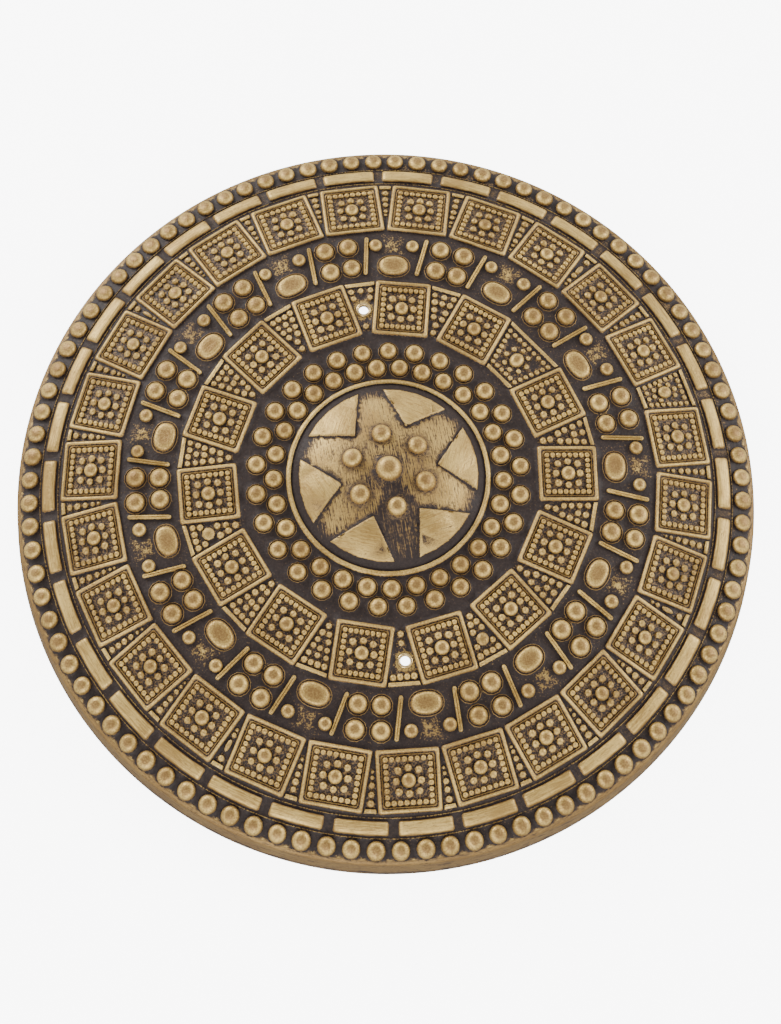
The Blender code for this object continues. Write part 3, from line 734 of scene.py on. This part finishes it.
def add_rod(skin, angle):
    """A thin leaning ridge across the band."""
    centre = at(angle, (BAND_INNER_ROW + BAND_OUTER_ROW) / 2)
    turn = angle - ROD_LEAN + math.radians(RANDOM.uniform(-3, 3))
    half = ROD_LENGTH / 2
    width = ROD_WIDTH / 2
    if not skin.back:
        for share, lift, paint in ROD_SECTION:
            reach = half - (1 - share) * width
            outline = round_box(centre, width * share, reach, turn, width * share, SIDE_STEP)
            skin.loop(outline, ROD_HEIGHT * lift, paint)
    spots = [centre + turned((reach, 0.0), turn) for reach in np.linspace(-half + width, half - width, 5)]
    skin.line(spots, ROD_HEIGHT * (1.0 if skin.back else 0.6), 0.55)
    skin.take(centre, width + 1.0 * MM, half + 0.6 * MM, turn)


def add_band(skin):
    """Ovals with two small beads each and groups of four beads, parted by leaning rods."""
    room = OVAL_LENGTH + GROUP_SPREAD + GROUP_BEAD + 2 * ROD_WIDTH + 4 * BAND_GAP
    count = fitting(BAND_INNER_ROW, room)
    quarter = math.pi / 2 / count
    for angle in even_ring(2 * count, BAND_AT + quarter, BAND_DRIFT):
        add_rod(skin, angle)
    for angle in even_ring(count, BAND_AT, BAND_DRIFT):
        add_oval(skin, angle, BAND_INNER_ROW)
        for side in (-1, 1):
            turn = side * OVAL_BEAD_SPREAD / 2 / BAND_OUTER_ROW
            bead(skin, at(angle + turn, BAND_OUTER_ROW), OVAL_BEAD)
        if not skin.back:
            add_pillow(skin, angle)
    for angle in even_ring(count, BAND_AT + 2 * quarter, BAND_DRIFT):
        for radius in (BAND_INNER_ROW, BAND_OUTER_ROW):
            for side in (-1, 1):
                turn = side * GROUP_SPREAD / 2 / BAND_OUTER_ROW
                bead(skin, at(angle + turn, radius), GROUP_BEAD, halo=GROUP_HALO)


def add_pillow(skin, angle):
    """The low uneven ground between an oval's two beads, which the brush caught."""
    centre = at(angle, BAND_OUTER_ROW - 0.6 * MM)
    for row in range(-3, 4):
        for column in range(-3, 4):
            spot = (row * PILLOW_STEP, (column + row % 2 / 2) * PILLOW_STEP)
            place = centre + turned(spot, angle)
            if skin.free(place):
                edge = max(abs(row), abs(column)) / 3
                lift = RANDOM.uniform(0.0, 0.5) * MM * (1.2 - edge)
                skin.add(place, lift, RANDOM.uniform(0.2, 0.75) * (1.15 - 0.6 * edge))
    skin.take(centre, 5 * MM, 5 * MM, angle)


def bent_box(angle, radius, half_tangent, half_radial, corner):
    """A rounded box that follows the ring."""
    flat = round_box(CENTRE, half_tangent, half_radial, 0.0, corner, 4.2 * MM)
    return [at(angle + place.y / radius, radius + place.x) for place in flat]


def add_bar(skin, angle, number):
    """A long flat bar with swollen ends."""
    half_tangent = BAR_LENGTH / 2 * RANDOM.uniform(0.975, 1.01)
    half_radial = BAR_WIDTH / 2 * RANDOM.uniform(0.96, 1.04)
    for distance, lift, *look in BACK_BAR_SECTION if skin.back else BAR_SECTION:
        distance *= MM
        outline = bent_box(angle, BAR_RING, half_tangent - distance, half_radial - distance, 0.9 * MM)
        strokes = [brushed(place, angle + math.pi / 2, number) for place in outline]
        skin.loop(outline, lift * MM, *look, strokes=strokes)
    skin.take(at(angle, BAR_RING), half_tangent + 0.7 * MM, half_radial + 0.9 * MM, angle)


def add_border(skin):
    """Bars end to end, then the row of rim beads."""
    for number, angle in enumerate(even_ring(fitting(BAR_RING, BAR_LENGTH + BAR_GAP), BAR_AT, BAR_DRIFT)):
        add_bar(skin, angle, number + 10)
    count = fitting(RIM_ROW, RIM_BEAD + RIM_BEAD_GAP)
    for angle in even_ring(count, RIM_BEAD_AT, RIM_BEAD_DRIFT):
        bead(skin, at(angle, RIM_ROW), RIM_BEAD, stretch=1.04)
    if skin.back:
        return
    for radius in (OUTER_TILES_OUT + BAR_MARGIN / 2, BAR_RING + BAR_WIDTH / 2 + RIM_BEAD_MARGIN / 2):
        for reach, lift, paint in LINE_SECTION:
            places = [at(angle, radius + reach * MM) for angle in even_ring(BORDER_LINE_SEGMENTS, reach)]
            skin.loop(places, lift * MM, paint)
    for angle in even_ring(count, RIM_BEAD_AT + math.pi / count, RIM_BEAD_DRIFT):
        for reach, paint, lift in ((0.2, 0.0, -0.15), (2.3, 0.1, -0.1), (3.7, 0.75, 0.0)):
            skin.add(at(angle, RIM_ROW + reach * MM), lift * MM, paint)
        skin.take(at(angle, RIM_ROW + 2 * MM), 1.4 * MM, 2.6 * MM, angle)


def nearest_gap(angles, wanted):
    """The middle of the gap between two neighbouring tiles that lies nearest to an angle."""
    middles = [(first + second) / 2 for first, second in zip(angles, angles[1:])]
    return min(middles, key=lambda middle: abs(math.remainder(middle - wanted, FULL_TURN)))


def seat_height(seat):
    """Height of the shell's front at an eyelet."""
    return float(np.interp(seat.length, [point[0] for point in OUTER], [point[1] for point in OUTER]))


def add_seats(skin, seats):
    """Level seats for the eyelets' flanges around the holes."""
    for seat in seats:
        level = seat_height(seat) - (WALL if skin.back else 0.0)
        for radius, paint in ((EYELET_FLANGE / 2 + SEAT_MARGIN, 0.6), (EYELET_BARREL / 2 + CLEARANCE, 0.2)):
            edge = skin.loop(oval(seat, SEAT_SEGMENTS, radius, radius, 0.0), paint=paint, level=level)
        skin.hole_starts.append(edge[0])
        reach = EYELET_FLANGE / 2 + SEAT_MARGIN + 0.5 * MM
        skin.take(seat, reach, reach, rounded=True)


def add_ground(skin, step):
    """Plain ground between the forms, on a staggered grid, then the shoulder and the skirt."""
    rows = int(SHOULDER / step)
    for row in range(-2 * rows, 2 * rows + 1):
        for column in range(-2 * rows, 2 * rows + 1):
            place = Vector(((column + row % 2 / 2) * step, row * step * math.sqrt(0.75)))
            if place.length < SHOULDER - 0.5 * step and skin.free(place):
                lift = 0.0 if skin.back else RANDOM.uniform(-0.05, 0.05) * MM
                skin.add(place, lift, ground_paint(place), 0.7)
    rings = skin.exact[-RIM_STEPS - 1:]
    for number, (radius, level) in enumerate(rings):
        count = RIM_SEGMENTS // 2 if skin.back and number < RIM_STEPS else RIM_SEGMENTS
        places = [at(angle, radius) for angle in even_ring(count, 0.0)]
        strokes = [(18 * place.x / radius, 18 * place.y / radius, 1.6 * number) for place in places]
        paint = 0.62 if number < RIM_STEPS - 1 else 0.25
        skin.loop(places, paint=paint, crest=0.8, strokes=strokes, level=level)


def ground_paint(place):
    """How much of the brush reached the plain ground: most on the border's right and top."""
    radius = place.length
    if radius > OUTER_TILES_OUT:
        warm = place.x * 0.8 + place.y * 0.6
        return 0.34 + 0.2 * warm / radius
    return 0.08 if radius < INNER_TILES_IN else 0.18


def skin_mesh(skin, facing, first):
    """Triangulates a skin: vertex rows and faces with their indices counted on from first."""
    flat, _, faces, sources, _, _ = delaunay_2d_cdt(skin.points, skin.edges, [], 0, 1e-7)
    rows = []
    for place, source in zip(flat, sources):
        if source:
            index = source[0]
            rows.append((place.x, place.y, skin.heights[index],
                         skin.paint[index], skin.crest[index], *skin.stroke[index]))
        else:
            rows.append((place.x, place.y, skin.ground(place), 0.3, 0.0, place.x / MM, place.y / MM, 0.0))
    triangles = []
    for face in faces:
        triangle = [index + first for index in face]
        area = (flat[face[1]] - flat[face[0]]).cross(flat[face[2]] - flat[face[0]])
        if area * facing < 0:
            triangle.reverse()
        triangles.append(triangle)
    where = {source[0]: index + first for index, source in enumerate(sources) if source}
    return rows, triangles, where


def build_skin(back, tiles_in, tiles_out, seats):
    """All forms of one face, pressed through the sheet, so that both faces carry them."""
    skin = Skin(INNER if back else OUTER, back)
    add_boss(skin)
    add_bead_field(skin)
    add_seats(skin, seats)
    add_tile_ring(skin, tiles_in, INNER_TILES_IN, INNER_TILE_WIDTH, INNER_TILE_LENGTH, INNER_PANEL_AT,
                  seats, 4)
    add_band(skin)
    add_tile_ring(skin, tiles_out, OUTER_TILES_IN, OUTER_TILE_WIDTH, OUTER_TILE_LENGTH, OUTER_PANEL_AT,
                  seats, 7)
    add_border(skin)
    add_ground(skin, BACK_STEP if back else GROUND_STEP)
    return skin


def mesh_data(name, mesh, sharp=None):
    """A bmesh as mesh data, shaded smooth except where faces meet at more than an angle in degrees."""
    data = bpy.data.meshes.new(name)
    mesh.to_mesh(data)
    mesh.free()
    if sharp:
        data.shade_smooth()
        data.set_sharp_from_angle(angle=math.radians(sharp))
    return data


def link(name, data, finish):
    """A named object in the scene with its material."""
    obj = bpy.data.objects.new(name, data)
    bpy.context.scene.collection.objects.link(obj)
    data.materials.append(finish)
    return obj


def make_shell(tiles_in, tiles_out, seats, finish):
    """Both faces, closed along the rim and through the eyelet holes, as one sheet."""
    front = build_skin(False, tiles_in, tiles_out, seats)
    back = build_skin(True, tiles_in, tiles_out, seats)
    rows, faces, front_at = skin_mesh(front, 1, 0)
    more_rows, more_faces, back_at = skin_mesh(back, -1, len(rows))
    rows += more_rows
    hole = EYELET_BARREL / 2 + CLEARANCE

    def open_hole(face):
        middle = Vector(tuple(sum(rows[index][axis] for index in face) / 3 for axis in (0, 1)))
        return any((middle - seat).length < hole * 0.999 for seat in seats)

    faces = [face for face in faces + more_faces if not open_hole(face)]
    mesh = bmesh.new()
    corners = [mesh.verts.new(row[:3]) for row in rows]
    for face in faces:
        mesh.faces.new([corners[index] for index in face])
    rings = [(len(front.points) - RIM_SEGMENTS, len(back.points) - RIM_SEGMENTS, RIM_SEGMENTS)]
    rings += [(*starts, SEAT_SEGMENTS) for starts in zip(front.hole_starts, back.hole_starts)]
    for front_start, back_start, count in rings:
        for index in range(count):
            after = (index + 1) % count
            quad = (front_at[front_start + index], back_at[back_start + index],
                    back_at[back_start + after], front_at[front_start + after])
            mesh.faces.new([corners[corner] for corner in quad])
    loose = [vert for vert in mesh.verts if not vert.link_faces]
    bmesh.ops.delete(mesh, geom=loose, context="VERTS")
    bmesh.ops.recalc_face_normals(mesh, faces=mesh.faces)
    kept = [row for row, vert in zip(rows, corners) if vert.is_valid]
    data = mesh_data("shield_shell_skin", mesh, 75.0)
    table = np.array(kept, dtype=np.float32)
    for name, kind, columns in (("paint", "FLOAT", slice(3, 4)), ("crest", "FLOAT", slice(4, 5)),
                                ("stroke", "FLOAT_VECTOR", slice(5, 8))):
        layer = data.attributes.new(name, kind, "POINT")
        layer.data.foreach_set("vector" if kind == "FLOAT_VECTOR" else "value", table[:, columns].ravel())
    return link("shield_shell_skin", data, finish)


class Nodes:
    """Short hand for building the node tree of a material or of the world."""

    def __init__(self, owner):
        owner.use_nodes = True
        self.owner = owner
        self.tree = owner.node_tree
        self.tree.nodes.clear()

    def add(self, kind, inputs=None, **settings):
        node = self.tree.nodes.new(kind)
        for name, value in settings.items():
            setattr(node, name, value)
        for name, value in (inputs or {}).items():
            self.put(node.inputs[name], value)
        return node

    def put(self, socket, value):
        if isinstance(value, bpy.types.NodeSocket):
            self.tree.links.new(value, socket)
        else:
            socket.default_value = value

    def attribute(self, name, output="Fac"):
        return self.add("ShaderNodeAttribute", attribute_name=name).outputs[output]

    def math(self, operation, first, second=0.0, third=0.0):
        node = self.add("ShaderNodeMath", operation=operation)
        for socket, value in zip(node.inputs, (first, second, third)):
            self.put(socket, value)
        return node.outputs[0]

    def noise(self, scale, detail, vector=None, roughness=0.5):
        node = self.add("ShaderNodeTexNoise", {"Scale": scale, "Detail": detail, "Roughness": roughness})
        if vector:
            self.put(node.inputs["Vector"], vector)
        return node.outputs[0]

    def spread(self, value, low, high, to_low=0.0, to_high=1.0, kind="SMOOTHSTEP"):
        """A value mapped from one range to another."""
        inputs = {"Value": value, "From Min": low, "From Max": high, "To Min": to_low, "To Max": to_high}
        return self.add("ShaderNodeMapRange", inputs, interpolation_type=kind).outputs[0]

    def mix(self, factor, first, second):
        node = self.add("ShaderNodeMix", data_type="RGBA")
        self.put(node.inputs[0], factor)
        self.put(node.inputs[6], first)
        self.put(node.inputs[7], second)
        return node.outputs[2]

    def finish(self, inputs, shader="ShaderNodeBsdfPrincipled", output="ShaderNodeOutputMaterial"):
        """Adds the shader with its inputs and the output, and gives the material or the world back."""
        self.tree.links.new(self.add(shader, inputs).outputs[0], self.add(output).inputs[0])
        return self.owner


def gold_paint():
    """Antique gold brushed thinly over black plastic. It holds on the raised work and misses the recesses.
    Painted shade browns the gold round the feet of the forms, a painted dark reflection browns their tops,
    and the hollows are darkened as painted shade.
    """
    nodes = Nodes(bpy.data.materials.new("gold_paint_over_black"))
    geometry = nodes.add("ShaderNodeNewGeometry")
    place = geometry.outputs["Position"]
    stroke = nodes.attribute("stroke", "Vector")
    paint, crest = nodes.attribute("paint"), nodes.attribute("crest")
    streaks = nodes.noise(1.3, 5.0, stroke, 0.65)
    specks = nodes.noise(900.0, 3.0, place)
    broad = nodes.noise(50.0, 2.0, place)
    # Pointiness takes gold off concave places and adds it on convex edges: partly where the brush missed,
    # partly painted shade in the hollows and a painted highlight on the edges
    hollow = nodes.math("MULTIPLY_ADD", geometry.outputs["Pointiness"], 3.0, -1.5)
    uneven = nodes.math("ADD", nodes.math("MULTIPLY_ADD", streaks, 2.2, -1.1),
                        nodes.math("MULTIPLY_ADD", specks, 0.6, -0.3))
    level = nodes.math("ADD", nodes.math("ADD", paint, hollow), uneven)
    cover = nodes.spread(level, 0.2, 0.8)
    tone = nodes.math("ADD", nodes.math("MULTIPLY", streaks, 0.6), nodes.math("MULTIPLY", broad, 0.4))
    gold = nodes.mix(nodes.spread(tone, 0.40, 0.60), (0.66, 0.46, 0.145, 1.0), (0.34, 0.215, 0.062, 1.0))
    dusty = nodes.math("MULTIPLY", nodes.spread(specks, 0.52, 0.72), 0.45)
    gold = nodes.mix(dusty, gold, (0.20, 0.115, 0.04, 1.0))
    # Painted shade: where crest is high, round the feet of the forms and as a painted dark reflection on
    # their tops, the gold turns dark brown
    shade_and_brown_mix = nodes.math("MULTIPLY", nodes.spread(crest, 0.0, 1.0), nodes.spread(streaks, 0.3, 0.7, 0.65, 0.95))
    gold = nodes.mix(shade_and_brown_mix, gold, (0.19, 0.105, 0.036, 1.0))
    black = nodes.mix(specks, (0.010, 0.006, 0.006, 1.0), (0.038, 0.025, 0.021, 1.0))
    thin = nodes.mix(nodes.spread(cover, 0.0, 0.5), black, (0.15, 0.09, 0.038, 1.0))
    rough = nodes.math("ADD", tone, specks)
    bump = nodes.add("ShaderNodeBump", {"Strength": 0.5, "Distance": 0.0004, "Height": rough})
    return nodes.finish({"Base Color": nodes.mix(nodes.spread(cover, 0.35, 1.0), thin, gold),
                         "Metallic": nodes.math("MULTIPLY", cover, 0.5),
                         "Roughness": nodes.math("MULTIPLY_ADD", cover, -0.12, 0.58),
                         "Specular IOR Level": 0.25, "Normal": bump.outputs[0]})


def brass():
    """Plain rolled brass, slightly dull."""
    nodes = Nodes(bpy.data.materials.new("rolled_brass"))
    tone = nodes.noise(700.0, 2.0, nodes.add("ShaderNodeNewGeometry").outputs["Position"])
    return nodes.finish({"Base Color": nodes.mix(tone, (0.72, 0.54, 0.26, 1.0), (0.60, 0.42, 0.18, 1.0)),
                         "Metallic": 1.0, "Roughness": nodes.spread(tone, 0.3, 0.7, 0.22, 0.34)})


def white_table():
    """A plain pale table top that glows, so that it shows white."""
    nodes = Nodes(bpy.data.materials.new("white_table"))
    return nodes.finish({"Base Color": (0.8, 0.8, 0.8, 1.0), "Roughness": 0.9,
                         "Emission Color": (1.0, 1.0, 1.0, 1.0), "Emission Strength": FLOOR_GLOW})


def tent_light():
    """White light from all round, strongest from the sides."""
    nodes = Nodes(bpy.data.worlds.new("studio"))
    direction = nodes.add("ShaderNodeTexCoord").outputs["Generated"]
    up = nodes.add("ShaderNodeSeparateXYZ", {"Vector": direction}).outputs["Z"]
    above = nodes.spread(up, 0.35, 0.98, TENT_SIDE, TENT_TOP)
    below = nodes.spread(up, -0.3, 0.1, TENT_UNDER, 1.0, "LINEAR")
    return nodes.finish({"Color": (1.0, 1.0, 1.0, 1.0), "Strength": nodes.math("MULTIPLY", above, below)},
                        "ShaderNodeBackground", "ShaderNodeOutputWorld")


def make_eyelet(name, place, finish):
    """A rolled hollow rivet: a barrel through the wall, with a rounded flange on each face."""
    bore, barrel, flange = EYELET_BORE / 2, EYELET_BARREL / 2, EYELET_FLANGE / 2
    front, back = CLEARANCE, -WALL - CLEARANCE
    outline = []
    for face, sign, steps in ((back, -1, range(7)), (front, 1, range(6, -1, -1))):
        middle, half = (bore + flange) / 2, (flange - bore) / 2
        for step in steps:
            angle = math.pi * step / 6
            lift = sign * EYELET_FLANGE_THICKNESS * math.sin(angle)
            outline.append((middle - half * math.cos(angle), face + lift))
        if sign < 0:
            outline += [(barrel, face), (barrel, front)]
    mesh = bmesh.new()
    corners = [mesh.verts.new((radius, 0.0, height)) for radius, height in outline]
    edges = [mesh.edges.new(pair) for pair in zip(corners, corners[1:] + corners[:1])]
    bmesh.ops.spin(mesh, geom=corners + edges, cent=(0, 0, 0), axis=(0, 0, 1), angle=FULL_TURN,
                   steps=EYELET_SEGMENTS, use_merge=True)
    bmesh.ops.remove_doubles(mesh, verts=mesh.verts, dist=1e-6)
    bmesh.ops.recalc_face_normals(mesh, faces=mesh.faces)
    eyelet = link(name + "_rolled", mesh_data(name + "_rolled", mesh, 50.0), finish)
    eyelet.location = (place.x, place.y, seat_height(place))
    return eyelet


def make_stage():
    """A plain lit white table top, and light that comes mostly from the sides, as in a light tent."""
    mesh = bmesh.new()
    bmesh.ops.create_grid(mesh, x_segments=1, y_segments=1, size=3.0)
    floor = link("floor", mesh_data("floor", mesh), white_table())
    floor.visible_diffuse = False
    floor.visible_glossy = False
    for name, place, size, power in LIGHTS:
        light = bpy.data.lights.new(name, "AREA")
        light.size = size
        light.energy = power
        lamp = bpy.data.objects.new(name, light)
        bpy.context.scene.collection.objects.link(lamp)
        lamp.location = place
        away = Vector(place) - Vector((0.0, 0.0, 0.03))
        lamp.rotation_euler = away.to_track_quat("Z", "Y").to_euler()
    bpy.context.scene.world = tent_light()


def make_camera():
    """Looks down on the face from a little below the pattern's foot, as the photo does."""
    level = math.cos(VIEW_ELEVATION)
    away = Vector((-math.sin(VIEW_SWING) * level, -math.cos(VIEW_SWING) * level, math.sin(VIEW_ELEVATION)))
    right = Vector((0.0, 1.0, 0.0)).cross(away).normalized()
    turn = Matrix((right, away.cross(right), away)).transposed()
    aside = (RIDGE_AT[0] - IMAGE_WIDTH / 2) / FOCAL_PIXELS * VIEW_DISTANCE
    up = -(RIDGE_AT[1] - IMAGE_HEIGHT / 2) / FOCAL_PIXELS * VIEW_DISTANCE
    ridge = Vector((0.0, 0.0, OUTER[DOME_STEPS][1]))
    data = bpy.data.cameras.new("photo_view")
    data.sensor_width = SENSOR_WIDTH
    data.lens = FOCAL_PIXELS / IMAGE_HEIGHT * data.sensor_width
    data.clip_start = 0.01
    camera = bpy.data.objects.new("photo_view", data)
    bpy.context.scene.collection.objects.link(camera)
    place = ridge - turn @ Vector((aside, up, -VIEW_DISTANCE))
    camera.matrix_world = Matrix.Translation(place) @ turn.to_4x4()
    bpy.context.scene.camera = camera


tiles_in = tile_angles(INNER_TILES_IN, INNER_TILE_WIDTH, INNER_TILE_GAP, INNER_PANEL_AT, INNER_TILE_DRIFT)
tiles_out = tile_angles(OUTER_TILES_IN, OUTER_TILE_WIDTH, OUTER_TILE_GAP, OUTER_PANEL_AT, OUTER_TILE_DRIFT)
seats = {name: at(nearest_gap(tiles_in, wanted) + lean, distance)
         for name, (wanted, lean, distance) in EYELETS.items()}

shell = make_shell(tiles_in, tiles_out, list(seats.values()), gold_paint())
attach(shell, "root")
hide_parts("shield_shell")
metal = brass()
for eyelet_name, seat in seats.items():
    rolled = make_eyelet(eyelet_name, seat, metal)
    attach(rolled, "root")
    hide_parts(eyelet_name)
make_stage()
make_camera()
